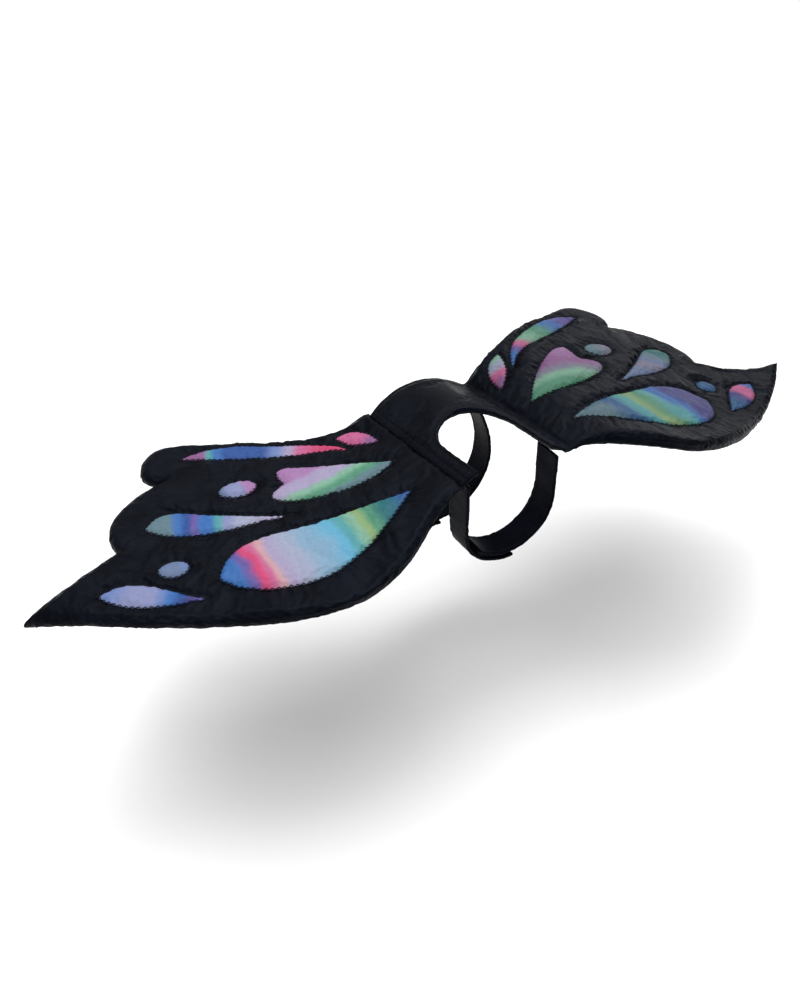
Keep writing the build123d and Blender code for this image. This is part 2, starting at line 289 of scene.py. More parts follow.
def cut_pattern(edge, seams, step=CLOTH_STEP):
    """Triangles that fill the edge loop and keep to the seams. Gives the flat points, the triangles, the
    number of the seam that each lies in (0 for none), and which points are on the edge or on a seam."""
    edge = evenly(edge, step)
    loops = [edge] + [evenly(seam, step) for seam in seams]
    rings = [edge + inward(edge) * inset * MM for inset in RINGS]
    taken = np.concatenate(loops + rings)
    tree = kdtree.KDTree(len(taken))
    for i, (x, y) in enumerate(taken):
        tree.insert((x, y, 0), i)
    tree.balance()
    filling = [p for p in lattice(edge, step) if tree.find((*p, 0))[2] > ROOM * step]
    points = [Vector(p) for p in np.concatenate([taken, filling])]
    faces, start = [], 0
    for loop in loops:
        faces.append(list(range(start, start + len(loop))))
        start += len(loop)
    flat, _, triangles, origin, _, inside = delaunay_2d_cdt(points, [], faces, 1, 1e-7)
    kept = [(t, max(i)) for t, i in zip(triangles, inside) if 0 in i]
    used = sorted({v for t, _ in kept for v in t})
    renamed = {v: i for i, v in enumerate(used)}
    on_edge = np.array([any(o < len(edge) for o in origin[v]) for v in used])
    on_seam = np.array([any(o < start for o in origin[v]) for v in used])
    flat = np.array([flat[v] for v in used])
    return flat, [[renamed[v] for v in t] for t, _ in kept], [i for _, i in kept], on_edge, on_seam


# %% Sewing the pad


def sew_pad(name, edge, seams, top_tree, low_tree, clear_of=0.0, step=CLOTH_STEP,
            edge_roll=EDGE_ROLL, seam_roll=SEAM_ROLL, pinch=SEAM_PINCH):
    """A closed pad over the CAD skins.
    Its faces carry the number of their panel, and its points their flat place."""
    flat, triangles, patches, on_edge, on_seam = cut_pattern(edge, seams, step)
    lookup = flat.copy()
    if clear_of:
        lookup[:, 0] = np.sign(flat[:, 0]) * np.maximum(abs(flat[:, 0]), clear_of)
    middle, half = levels(lookup, top_tree, low_tree)
    rise = swell(seam_places(edge, flat)[0], edge_roll)
    for seam in seams:
        rise *= pinch + (1 - pinch) * swell(seam_places(seam, flat)[0], seam_roll)
    rise[on_edge] = 0
    count = len(flat)
    top = np.column_stack([flat, middle + half * rise])
    under = np.column_stack([flat, middle - half * rise])
    below = np.where(on_edge, np.arange(count), 0)
    below[~on_edge] = count + np.arange((~on_edge).sum())
    faces = triangles + [[int(below[v]) for v in t[::-1]] for t in triangles]
    mesh = bpy.data.meshes.new(name)
    mesh.from_pydata(np.concatenate([top, under[~on_edge]]).tolist(), [], faces)
    mesh.attributes.new("patch", "INT", "FACE").data.foreach_set("value", patches + [-1] * len(patches))
    flat_all = np.concatenate([flat, flat[~on_edge]])
    in_plane = np.column_stack([flat_all, np.zeros(len(flat_all))])
    place = mesh.attributes.new("flat", "FLOAT_VECTOR", "POINT")
    place.data.foreach_set("vector", in_plane.astype(np.float32).ravel())
    pad = bpy.data.objects.new(name, mesh)
    bpy.context.scene.collection.objects.link(pad)
    held = np.concatenate([on_edge | on_seam, (on_edge | on_seam)[~on_edge]])
    group = pad.vertex_groups.new(name="sewn")
    group.add([int(i) for i in np.nonzero(held)[0]], 1.0, "ADD")
    print(name, "has", len(faces), "triangles, and", int(held.sum()), "points are sewn down")
    return pad


# %% [markdown]
# The pads are blown up as real ones are filled: Blender's Cloth pushes on both skins with a steady
# pressure, while the sewn points stay where they are. The cloth is cut a little larger than the space it
# has, so the spare cloth has to fold, which leaves creases that run from seam to seam. The result is
# applied to the mesh.

# %% Filling the pad


def active_only(piece):
    """Make a piece the one that the operators act on."""
    bpy.ops.object.select_all(action="DESELECT")
    bpy.context.view_layer.objects.active = piece
    piece.select_set(True)


def vectors(items, key):
    """One vector of each item, as an array."""
    values = np.zeros(len(items) * 3, np.float32)
    items.foreach_get(key, values)
    return values.reshape(-1, 3).astype(float)


def points_of(piece):
    """A piece's points as an array."""
    return vectors(piece.data.vertices, "co")


def place_points(piece, points):
    """Give a piece's points new places."""
    piece.data.vertices.foreach_set("co", points.astype(np.float32).ravel())
    piece.data.update()


def fill(pad, pressure=4.0, spare=0.016, most=3 * MM, frames=20):
    """Blow a pad up between its seams. No point moves further than most."""
    before = points_of(pad)
    active_only(pad)
    bpy.ops.object.modifier_add(type="CLOTH")
    cloth = pad.modifiers[-1]
    settings = cloth.settings
    settings.quality = 4
    settings.mass = 0.1
    settings.tension_stiffness = settings.compression_stiffness = 8
    settings.shear_stiffness = 4
    settings.bending_stiffness = 0.4
    settings.air_damping = 2
    settings.vertex_group_mass = "sewn"
    settings.pin_stiffness = 1
    settings.shrink_min = -spare
    settings.use_pressure = True
    settings.uniform_pressure_force = pressure
    settings.effector_weights.gravity = 0
    cloth.point_cache.frame_end = frames
    for moment in range(1, frames + 1):
        bpy.context.scene.frame_set(moment)
    active_only(pad)
    bpy.ops.object.modifier_apply(modifier=cloth.name)
    after = points_of(pad)
    moved = after - before
    length = np.linalg.norm(moved, axis=1)
    moved *= np.minimum(1, most / np.maximum(length, 1e-9))[:, None]
    place_points(pad, before + moved)
    bpy.context.scene.frame_set(1)
    print(pad.name, "filled; points moved by up to", round(length.max() * 1000, 1), "mm")


# %% [markdown]
# ## Gathers
# A thread that holds puffed cloth down takes up some of its length, so little folds run away from every seam
# at right angles and die out after a finger's width. Noise that is read at the nearest place on the seam
# is the same all along such a fold, which is what makes it a fold and not a bump. The mesh is divided
# once, and its points are moved along their normals, so the folds are real shape.

# %% Folds beside the seams
GATHER_REACH = 9 * MM        # folds fade over this distance
GATHER_DEPTH = 1.05 * MM
GATHER_PITCH = 4.2 * MM
EDGE_SHARE = 0.16            # the folds along a pad's own edge are lower
PANEL_SHARE = 0.3            # and so are those inside a panel
FINE, CREASE, BROAD = 0.7, 0.9, 1.6          # heights of the narrow folds, creases and broad folds, in depths
BROAD_WIDTH = 3.1            # a broad fold is as wide as so many narrow ones
BROAD_REACH = 1.8            # and fades over so many reaches
RUN = 9                      # a fold changes slowly, over so many pitches of its length
NEAR = 30 * MM               # folds aren't looked for further from a seam's box than this


def folds(distance, places, seed):
    """Height of the folds at points so far from a seam, beside these places on it."""
    heights = np.zeros(len(distance))
    for i, (away, (x, y)) in enumerate(zip(distance, places)):
        if away > 4 * GATHER_REACH:
            continue
        drift = away / (RUN * GATHER_PITCH)
        fine = noise.noise((x / GATHER_PITCH, y / GATHER_PITCH, seed + drift))
        broad_x, broad_y = x / (BROAD_WIDTH * GATHER_PITCH), y / (BROAD_WIDTH * GATHER_PITCH)
        broad = noise.noise((broad_x, broad_y, seed + 40 + drift))
        crease = max(0.0, 1 - 3 * abs(fine))
        heights[i] = (FINE * fine - CREASE * crease) * math.exp(-away / GATHER_REACH)
        heights[i] += BROAD * broad * math.exp(-away / (BROAD_REACH * GATHER_REACH))
    return heights * GATHER_DEPTH


def flat_places(pad):
    """The pattern's flat place of each point of a pad."""
    return vectors(pad.data.attributes["flat"].data, "vector")[:, :2]


def normals_of(piece):
    """The directions that a piece's points face."""
    return vectors(piece.data.vertices, "normal")


def patches_of(pad):
    """The number of the panel that each of a pad's faces lies in."""
    numbers = np.zeros(len(pad.data.polygons), np.int32)
    pad.data.attributes["patch"].data.foreach_get("value", numbers)
    return numbers


def gather(pad, loops):
    """Divide a pad's triangles and raise folds along each loop. The first loop is the pad's own edge."""
    active_only(pad)
    bpy.ops.object.mode_set(mode="EDIT")
    bpy.ops.mesh.select_all(action="SELECT")
    bpy.ops.mesh.subdivide(number_cuts=1, smoothness=0.6)
    bpy.ops.object.mode_set(mode="OBJECT")
    flat, points, facing = flat_places(pad), points_of(pad), normals_of(pad)
    softer = np.ones(len(points))
    for face, number in zip(pad.data.polygons, patches_of(pad)):
        if number > 0:
            softer[list(face.vertices)] = PANEL_SHARE
    under = facing[:, 2] < 0
    lift = np.zeros(len(points))
    for number, loop in enumerate(loops):
        near = np.all((flat > loop.min(0) - NEAR) & (flat < loop.max(0) + NEAR), axis=1)
        for seed, skin in ((7 * number, near & ~under), (7 * number + 300, near & under)):
            if skin.any():
                share = 1 if number else EDGE_SHARE
                lift[skin] += share * folds(*seam_places(loop, flat[skin]), seed)
    place_points(pad, points + facing * (lift * softer)[:, None])
    for face in pad.data.polygons:
        face.use_smooth = True
    print(pad.name, "gathered; folds stand up to", round(lift.max() * 1000, 2), "mm")


# %% [markdown]
# A steel wire lies in a channel along each wing's leading edge. Satin drawn tight over such a wire shows
# it as a low ridge, like piping. So wherever a fold would let the wire through, the skin is lifted clear.

# %% Room for the wire
WIRE_ROOM = 0.8 * MM         # cloth over the wire
WIRE_FEEL = 1.2 * MM         # the wire is also felt for this far to each side
WIRE_NEAR = 6 * MM


def clear_the_wire(pad, wire_tree):
    """Lift both skins of a pad off the wire and its caps, which lie inside it."""
    points, facing = points_of(pad), normals_of(pad)
    lifted = 0
    for i, (x, y, z) in enumerate(points):
        if wire_tree.find_nearest(Vector((x, y, z)), WIRE_NEAR)[0] is None:
            continue
        side = 1 if facing[i][2] > 0 else -1
        for step_x, step_y in ((0, 0), (1, 0), (-1, 0), (0, 1), (0, -1)):
            place = Vector((x + WIRE_FEEL * step_x, y + WIRE_FEEL * step_y, side))
            hit = wire_tree.ray_cast(place, Vector((0, 0, -side)))[0]
            if hit is not None and points[i][2] * side < hit.z * side + WIRE_ROOM:
                points[i][2] = hit.z + side * WIRE_ROOM
                lifted += 1
    place_points(pad, points)
    print(pad.name, "was lifted off its wire", lifted, "times")


# %% [markdown]
# ## Both wings
# A wing's root is sewn to the yoke, so its cloth runs on for a few millimetres past the CAD root line, to be
# caught under the yoke's edge.

# %% Sew, fill and gather the wings
ROOT = 52 * MM               # the CAD wing begins here
TUCK = 46.5 * MM             # the cloth is tucked under the yoke's edge as far as here
pads = {}
for wing, side in SIDES.items():
    edge = wing_rims[wing].copy()
    edge[abs(edge[:, 0]) < ROOT + 0.1 * MM, 0] = side * TUCK
    seams = [panel_rims[(wing, name)] for name in PANELS]
    top_tree = tree_of([f"{wing}_wing_top_shell"] + [f"{wing}_{name}_panel" for name in PANELS])
    low_tree = tree_of([f"{wing}_wing_under_shell"])
    pads[wing] = sew_pad(f"{wing}_wing_cover", edge, seams, top_tree, low_tree, clear_of=ROOT + 0.5 * MM)
    fill(pads[wing])
    gather(pads[wing], [edge] + seams)
    clear_the_wire(pads[wing], tree_of([f"{wing}_wing_wire", f"{wing}_wing_wire_caps"]))

# %% [markdown]
# ## Panels
# Each panel is its own cloth, set into a window in the black satin. Its faces are copied from the pad,
# made their own piece, and given a thin cloth's thickness. Below it the pad is pressed in a little, so
# that the two cloths never share a surface.

# %% Take the panels off the pads
PANEL_CLOTH = 0.5 * MM
SUNK = 0.9 * MM


def take_panel(pad, number, name):
    """Copy one panel's faces off a pad as a thin closed cloth."""
    active_only(pad)
    bpy.ops.object.mode_set(mode="EDIT")
    bpy.ops.mesh.select_all(action="DESELECT")
    bpy.ops.object.mode_set(mode="OBJECT")
    pad.data.polygons.foreach_set("select", patches_of(pad) == number)
    bpy.ops.object.mode_set(mode="EDIT")
    bpy.ops.mesh.select_mode(type="FACE")
    bpy.ops.mesh.duplicate()
    bpy.ops.mesh.separate(type="SELECTED")
    bpy.ops.object.mode_set(mode="OBJECT")
    piece = next(o for o in bpy.context.selected_objects if o is not pad)
    piece.name = piece.data.name = name
    active_only(piece)
    bpy.ops.object.modifier_add(type="SOLIDIFY")
    piece.modifiers[-1].thickness = PANEL_CLOTH
    piece.modifiers[-1].offset = -1
    bpy.ops.object.modifier_apply(modifier=piece.modifiers[-1].name)
    return piece


def press_in(pad):
    """Sink the pad's own cloth under its panels."""
    inside = np.zeros(len(pad.data.vertices), bool)
    outside = inside.copy()
    for face, number in zip(pad.data.polygons, patches_of(pad)):
        (inside if number > 0 else outside)[list(face.vertices)] = True
    sunk = inside & ~outside
    points = points_of(pad)
    points[sunk] -= normals_of(pad)[sunk] * SUNK
    place_points(pad, points)


def surface_of(piece):
    """A search tree of a piece's faces as they are now."""
    mesh = piece.data
    return BVHTree.FromPolygons([v.co for v in mesh.vertices], [f.vertices for f in mesh.polygons])


panels, surfaces = {}, {}
for wing, pad in pads.items():
    surfaces[wing] = surface_of(pad)
    for number, name in enumerate(PANELS, start=1):
        panels[(wing, name)] = take_panel(pad, number, f"{wing}_{name}")
    press_in(pad)
print(len(panels), "panels taken")

# %% [markdown]
# ## Stitches
# The windows' edges are held by a close zigzag in black thread, which bites into the panel's colours and
# makes their edge look scalloped. A tube follows points that step from one side of the seam to
# the other, and each point is dropped onto the finished cloth.

# %% Zigzag round the panels
STITCH = 2.3 * MM            # from one needle hole to the next along the seam
BITE = 1.15 * MM             # how far a stitch reaches into the panel
BITE_OUT = 0.8               # and it reaches out by this share of that
PROUD = 0.1 * MM             # the thread's middle lies above the cloth
THREAD = 0.42 * MM


def thread_through(name, paths, cyclic, radius=THREAD):
    """A thread, as one mesh, through several rows of points."""
    curve = bpy.data.curves.new(name, "CURVE")
    curve.dimensions = "3D"
    curve.bevel_depth, curve.bevel_resolution = radius, 1
    curve.use_fill_caps = True
    for path in paths:
        row = curve.splines.new("POLY")
        row.points.add(len(path) - 1)
        row.points.foreach_set("co", np.column_stack([path, np.ones(len(path))]).astype(np.float32).ravel())
        row.use_cyclic_u = cyclic
    thread = bpy.data.objects.new(name, curve)
    bpy.context.scene.collection.objects.link(thread)
    active_only(thread)
    bpy.ops.object.convert(target="MESH")
    thread = bpy.context.active_object
    bpy.ops.object.shade_smooth()
    return thread


def zigzag(loop, surface):
    """Points of a zigzag over a seam, on the cloth."""
    row = evenly(loop, STITCH)
    if len(row) % 2:
        row = evenly(loop, STITCH * len(row) / (len(row) + 1))
    across = inward(row) * np.where(np.arange(len(row)) % 2, BITE, -BITE * BITE_OUT)[:, None]
    return [(x, y, drop(surface, x, y, 1) + PROUD) for x, y in row + across]


stitches = {}
for wing in SIDES:
    rows = [zigzag(panel_rims[(wing, name)], surfaces[wing]) for name in PANELS]
    stitches[wing] = thread_through(f"{wing}_wing_stitching", rows, cyclic=True)
    print(wing, "wing has", sum(map(len, rows)), "stitches round its panels")

# %% [markdown]
# ## Yoke
# The yoke is the small pad between the wings, with an arm on each side of the neck. It is
# made the same way. Its one seam runs just inside its edge, round the batting.

# %% Sew the yoke
YOKE_STITCH = 1.9 * MM
YOKE_DIPS = 0.28, -0.5       # millimetres that its stitches stand off the cloth and dip into it
yoke_rim = rim_of("yoke_lining", -1)
yoke_seam = rim_of("yoke_batting", 1)
yoke_skins = (tree_of([f"yoke_{skin}"]) for skin in ("cover", "lining"))
yoke = sew_pad("yoke_pad", yoke_rim, [yoke_seam], *yoke_skins, step=2 * MM,
               edge_roll=3 * MM, seam_roll=7 * MM, pinch=0.62)
fill(yoke, pressure=3.0, spare=0.012, most=1.2 * MM, frames=12)
yoke_surface = surface_of(yoke)
gather(yoke, [yoke_seam])
yoke_rows = []
for facing in (1, -1):
    row = evenly(yoke_seam, YOKE_STITCH)
    dips = np.where(np.arange(len(row)) % 2, *YOKE_DIPS) * MM * facing
    yoke_rows.append([(x, y, drop(yoke_surface, x, y, facing) + dip) for (x, y), dip in zip(row, dips)])
stitches["yoke"] = thread_through("yoke_stitching", yoke_rows, cyclic=True, radius=0.3 * MM)

# %% [markdown]
# ## Straps
# Both straps are bands of doubled satin. Each hangs from the yoke as a U in two halves, and the wearer's
# right half laps outside the left one, where hook tape meets loop tape. A flat grid is laid along
# the strap's course point by point, its edges are gathered a little, and Solidify and Bevel give it
# thickness and soft edges. The course comes from the joints and the boxes of the CAD halves.

# %% Course of a strap
STRAP = 2.4 * MM
TAPE = 1.1 * MM
STRAP_WIDTH, TAPE_WIDTH = 26 * MM, 20 * MM
LAP_START, LAP_END = -132, -84       # angles about the U's centre, -90 at the bottom
SWELL = 5.1 * MM                     # the outer half stands off by this much, to clear the tapes
ARC_STEP = 1.5                       # degrees


def ease(low, high, value):
    """0 before low, 1 after high, and a smooth rise between."""
    part = min(1.0, max(0.0, (value - low) / (high - low)))
    return part * part * (3 - 2 * part)


def strap_sizes(strap):
    """Hinge, radius and centre height of a strap's U, from the frame."""
    hinge = next(j["pos_m"] for j in frame["joints"] if j["name"] == f"{strap}_strap_left_opens")
    low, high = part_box(f"{strap}_strap_left")
    radius = high.x - STRAP / 2
    return hinge, radius, low.z + STRAP / 2 + radius


def arc(strap, start, end, lift=0.0, outer=False):
    """Places (x, z) and outward directions round the U's bottom."""
    hinge, radius, centre = strap_sizes(strap)
    course = []
    for angle in np.linspace(start, end, max(8, round(abs(end - start) / ARC_STEP))):
        reach = radius + lift + (SWELL * ease(-175, LAP_START - 4, angle) if outer else 0)
        way = np.array((math.cos(math.radians(angle)), math.sin(math.radians(angle))))
        course.append((reach * way + (0, centre), way))
    return course


def drop_down(strap, side):
    """The strap's way down from the yoke to the U's bottom."""
    (root_x, _, root_z), radius, centre = strap_sizes(strap)
    course = []
    for share in np.linspace(0, 0.95, 24):
        turn = share * math.pi / 2
        slope = (radius - root_x) * math.cos(turn) * math.pi / 2
        way = np.array((root_z - centre, slope)) / math.hypot(root_z - centre, slope)
        place = (root_x + (radius - root_x) * math.sin(turn), root_z + (centre - root_z) * share)
        course.append((np.array((side * place[0], place[1])), way * (side, 1)))
    return course


# %% Band along a course
HEM = 2.6 * MM               # from a band's edge to its row of stitches
ROWS = 14                    # strips across a band
PIECE = 1.6 * MM             # and their pieces along it
STRAP_STITCH = 4 * MM
DIPS = 0.2, -0.4             # millimetres that its stitches stand off the cloth and dip into it
EDGE_FOLD = 4 * MM           # length of the folds in a band's edges
BAND_WAVE = 14 * MM          # and of the slow waves along all of it
SIDE_WAVE = 20 * MM          # and across it


def band(name, course, y, width, thickness, ruffle=0.0, seed=0):
    """A cloth band that follows a course, and its rows of stitches."""
    places = np.array([p for p, _ in course])
    ways = np.array([w for _, w in course])
    run = np.concatenate([[0], np.cumsum(np.linalg.norm(np.diff(places, axis=0), axis=1))])
    along = max(12, round(run[-1] / PIECE))
    bpy.ops.object.select_all(action="DESELECT")
    bpy.ops.mesh.primitive_grid_add(x_subdivisions=along, y_subdivisions=ROWS, size=2)
    piece = bpy.context.active_object
    piece.name = piece.data.name = name

    def lay(share, offset, lift):
        """Place on the band: share of its length, offset from its middle, height off its middle layer."""
        goal = share * run[-1]
        x, z = (np.interp(goal, run, places[:, k]) for k in (0, 1))
        wx, wz = (np.interp(goal, run, ways[:, k]) for k in (0, 1))
        edge = (abs(offset) / (width / 2)) ** 3
        fold = noise.noise((goal / EDGE_FOLD, seed + 9 * np.sign(offset), 0)) * ruffle
        wave = noise.noise((goal / BAND_WAVE, offset / SIDE_WAVE, seed + 5)) * ruffle * 0.5
        lift = lift + fold * edge + wave
        return (x + wx * lift, y + offset, z + wz * lift)

    flat = points_of(piece)
    place_points(piece, np.array([lay((u + 1) / 2, v * width / 2, 0) for u, v, _ in flat]))
    active_only(piece)
    bpy.ops.object.modifier_add(type="SOLIDIFY")
    piece.modifiers[-1].thickness, piece.modifiers[-1].offset = thickness, 0
    bpy.ops.object.modifier_add(type="BEVEL")
    piece.modifiers[-1].width, piece.modifiers[-1].segments = thickness * 0.3, 2
    piece.modifiers[-1].limit_method, piece.modifiers[-1].angle_limit = "ANGLE", math.radians(50)
    for modifier in list(piece.modifiers):
        bpy.ops.object.modifier_apply(modifier=modifier.name)
    bpy.ops.object.mode_set(mode="EDIT")
    bpy.ops.mesh.select_all(action="SELECT")
    bpy.ops.mesh.normals_make_consistent(inside=False)
    bpy.ops.object.mode_set(mode="OBJECT")
    bpy.ops.object.shade_smooth_by_angle(angle=math.radians(50))
    rows = []
    holes = max(8, 2 * round(run[-1] / STRAP_STITCH))
    for offset in (-width / 2 + HEM, width / 2 - HEM):
        for face in (-1, 1):
            rows.append([
                lay(0.01 + 0.98 * k / holes, offset, face * (thickness / 2 + DIPS[(k + 1) % 2] * MM))
                for k in range(holes + 1)
            ])
    return piece, rows


straps, tapes = {}, {}
for strap in ("neck", "belly"):
    y = strap_sizes(strap)[0][1]
    sewn = STRAP / 2 + TAPE / 2 + 0.05 * MM
    hooked = sewn + TAPE + 0.4 * MM
    courses = {
        "right": drop_down(strap, -1) + arc(strap, -180, LAP_END, outer=True),
        "left": drop_down(strap, 1) + arc(strap, 0, LAP_START),
    }
    laps = {"right": ("hook", hooked), "left": ("loop", sewn)}
    for half, course in courses.items():
        name = f"{strap}_strap_{half}"
        straps[(strap, half)], rows = band(
            f"{name}_band", course, y, STRAP_WIDTH, STRAP, ruffle=0.9 * MM, seed=len(straps))
        kind, lift = laps[half]
        lap = arc(strap, LAP_END - 3, LAP_START + 3, lift=lift)
        tapes[(strap, half)], _ = band(f"{strap}_{kind}_tape", lap, y, TAPE_WIDTH, TAPE)
        stitches[(strap, half)] = thread_through(f"{name}_stitching", rows, cyclic=False, radius=0.25 * MM)
    print(strap, "strap made")

# %% [markdown]
# ## Black satin
# Satin floats its threads over many others, so it is smooth along the thread and shines softly. This one
# is nearly black, and what it reflects is tinted a cold blue. Two fine waves at right angles make the weave,
# a soft noise makes the crinkles that quilting leaves everywhere, and the roughness drifts a little, as
# handled cloth's does.

# %% A recipe for a finish


class Finish:
    """A material as it is made: its nodes, its shader, and the piece's own coordinates."""

    def __init__(self, name):
        self.material = bpy.data.materials.new(name)
        self.material.use_nodes = True
        self.tree = self.material.node_tree
        self.shader = self.tree.nodes["Principled BSDF"]
        self.place = self.add("TexCoord").outputs["Object"]

    def add(self, kind, feeds=(), **values):
        """A shader node. Keywords set its properties, and feeds gives its inputs a value or a link."""
        made = self.tree.nodes.new("ShaderNode" + kind)
        for key, value in values.items():
            setattr(made, key, value)
        for key, value in dict(feeds).items():
            if isinstance(value, bpy.types.NodeSocket):
                self.tree.links.new(value, made.inputs[key])
            else:
                made.inputs[key].default_value = value
        return made

    def feed(self, socket, value):
        """Link a value to one of the shader's sockets."""
        self.tree.links.new(value, self.shader.inputs[socket])

    def set(self, **values):
        """Set sockets of the shader to what they are all over the piece."""
        for key, value in values.items():
            self.shader.inputs[key.replace("_", " ")].default_value = value

    def noise(self, scale, detail, **more):
        """Soft noise, from 0 to 1."""
        feeds = {"Vector": self.place, "Scale": scale, "Detail": detail, **more}
        return self.add("TexNoise", feeds).outputs["Fac"]

    def ramp(self, factor, stops):
        """A soft colour ramp through (position, colour) stops."""
        made = self.add("ValToRGB", {"Fac": factor})
        made.color_ramp.interpolation = "EASE"
        while len(made.color_ramp.elements) < len(stops):
            made.color_ramp.elements.new(0.5)
        for element, (position, colour) in zip(made.color_ramp.elements, stops):
            element.position, element.color = position, (*colour, 1)
        return made.outputs["Color"]

    def span(self, factor, low, high):
        """A factor of 0 to 1 turned into another range."""
        return self.add("MapRange", {"Value": factor, "To Min": low, "To Max": high}).outputs["Result"]

    def bump(self, height, distance, **more):
        """Relief of a certain height, as a normal."""
        feeds = {"Height": height, "Distance": distance, "Strength": 1.0, **more}
        return self.add("Bump", feeds).outputs[0]

    def weave(self, pitch):
        """Height of a plain weave: threads along X and along Y."""
        straight = self.add("Mapping", {"Vector": self.place}).outputs[0]
        feeds = {
            "Vector": straight, "Scale": WAVES / pitch,
            "Distortion": 0.6, "Detail": 1.0, "Detail Scale": 2.0,
        }
        waves = [self.add("TexWave", feeds, bands_direction=way).outputs["Fac"] for way in ("X", "Y")]
        return self.add("Math", dict(enumerate(waves)), operation="MULTIPLY").outputs[0]

    def cloth_relief(self, pitch, weave_height, crinkle_scale, crinkle_height):
        """Weave over crinkles as relief. Gives the crinkles."""
        crinkle = self.noise(crinkle_scale, 3.0, Roughness=0.6, Distortion=0.5)
        crinkled = self.bump(crinkle, crinkle_height)
        self.feed("Normal", self.bump(self.weave(pitch), weave_height, Normal=crinkled))
        return crinkle


WAVES = 0.314                # a wave texture of scale 1 has a wave every 0.314 m

# %% Satin, thread and tapes


def cloth(name, colours, rough, weave, crinkles, tint, sheen=0.0, gloss=0.2):
    """A woven cloth whose colour and roughness drift between two values.
    A weave is its pitch and height, and crinkles are their scale and height."""
    finish = Finish(name)
    crinkle = finish.cloth_relief(*weave, *crinkles)
    drift = finish.noise(28.0, 4.0)
    finish.feed("Base Color", finish.ramp(drift, list(zip((0.3, 0.7), colours))))
    finish.feed("Roughness", finish.span(crinkle, *rough))
    finish.set(Sheen_Weight=sheen, Sheen_Roughness=0.4, Sheen_Tint=(*tint, 1))
    finish.set(Specular_IOR_Level=gloss, Specular_Tint=(*tint, 1))
    return finish.material


BLACKS = (0.0012, 0.0014, 0.0028), (0.0035, 0.004, 0.0075)
LOOP_GREYS = (0.006, 0.006, 0.007), (0.03, 0.03, 0.033)
HOOK_GREYS = (0.004, 0.004, 0.004), (0.015, 0.015, 0.016)
COLD, PALE = (0.6, 0.8, 1.0), (0.9, 0.9, 0.95)
satin = cloth("black_satin", BLACKS, rough=(0.3, 0.42), weave=(0.5 * MM, 0.05 * MM),
              crinkles=(210.0, 0.16 * MM), tint=COLD, gloss=0.04)
band_satin = cloth("strap_satin", BLACKS, rough=(0.36, 0.5), weave=(0.6 * MM, 0.07 * MM),
                   crinkles=(260.0, 0.15 * MM), tint=COLD, gloss=0.02)
thread_black = cloth("black_thread", BLACKS, rough=(0.5, 0.7), weave=(0.3 * MM, 0.05 * MM),
                     crinkles=(900.0, 0.1 * MM), tint=PALE, sheen=0.02, gloss=0.15)
loop_cloth = cloth("loop_tape", LOOP_GREYS, rough=(0.75, 0.95), weave=(0.9 * MM, 0.3 * MM),
                   crinkles=(1400.0, 0.8 * MM), tint=PALE, sheen=0.5)
hook_cloth = cloth("hook_tape", HOOK_GREYS, rough=(0.35, 0.5), weave=(1.3 * MM, 0.7 * MM),
                   crinkles=(700.0, 0.1 * MM), tint=PALE)
print("five black cloths made")

# %% [markdown]
# ## Shimmering panels
# The panels are cut from a satin printed with soft bands of colour, like oil on water, and each was cut
# from another place of the cloth. A ramp of dyes runs from one end of a panel to the other, and a slow
# noise sways the bands. Weave, crinkles and a random mottle of light and dark tone keep it cloth. The left
# wing's panels are darkened all over as painted shade.

# %% Dyes
DYES = {
    "pearl": (0.68, 0.71, 0.82), "lilac": (0.70, 0.66, 0.80), "haze": (0.58, 0.61, 0.79),
    "mist": (0.56, 0.71, 0.83), "sky": (0.42, 0.72, 0.86), "azure": (0.26, 0.47, 0.76),
    "royal": (0.20, 0.35, 0.64), "ocean": (0.17, 0.38, 0.58), "violet": (0.43, 0.38, 0.67),
    "indigo": (0.29, 0.29, 0.55), "plum": (0.60, 0.40, 0.61), "orchid": (0.70, 0.52, 0.73),
    "pink": (0.84, 0.43, 0.62), "hot_pink": (0.88, 0.30, 0.49), "peach": (0.86, 0.67, 0.70),
    "mint": (0.55, 0.75, 0.65), "green": (0.36, 0.62, 0.50), "lime": (0.58, 0.71, 0.48),
    "teal": (0.36, 0.67, 0.69), "sea": (0.18, 0.45, 0.49), "slate": (0.41, 0.53, 0.58),
    "steel": (0.45, 0.53, 0.68), "dusk": (0.54, 0.52, 0.62), "periwinkle": (0.47, 0.56, 0.79),
}
GAMMA = 2.2                  # dyes are given as they look on a screen
SWAY = 0.16                  # bands sway by this share of a panel's length


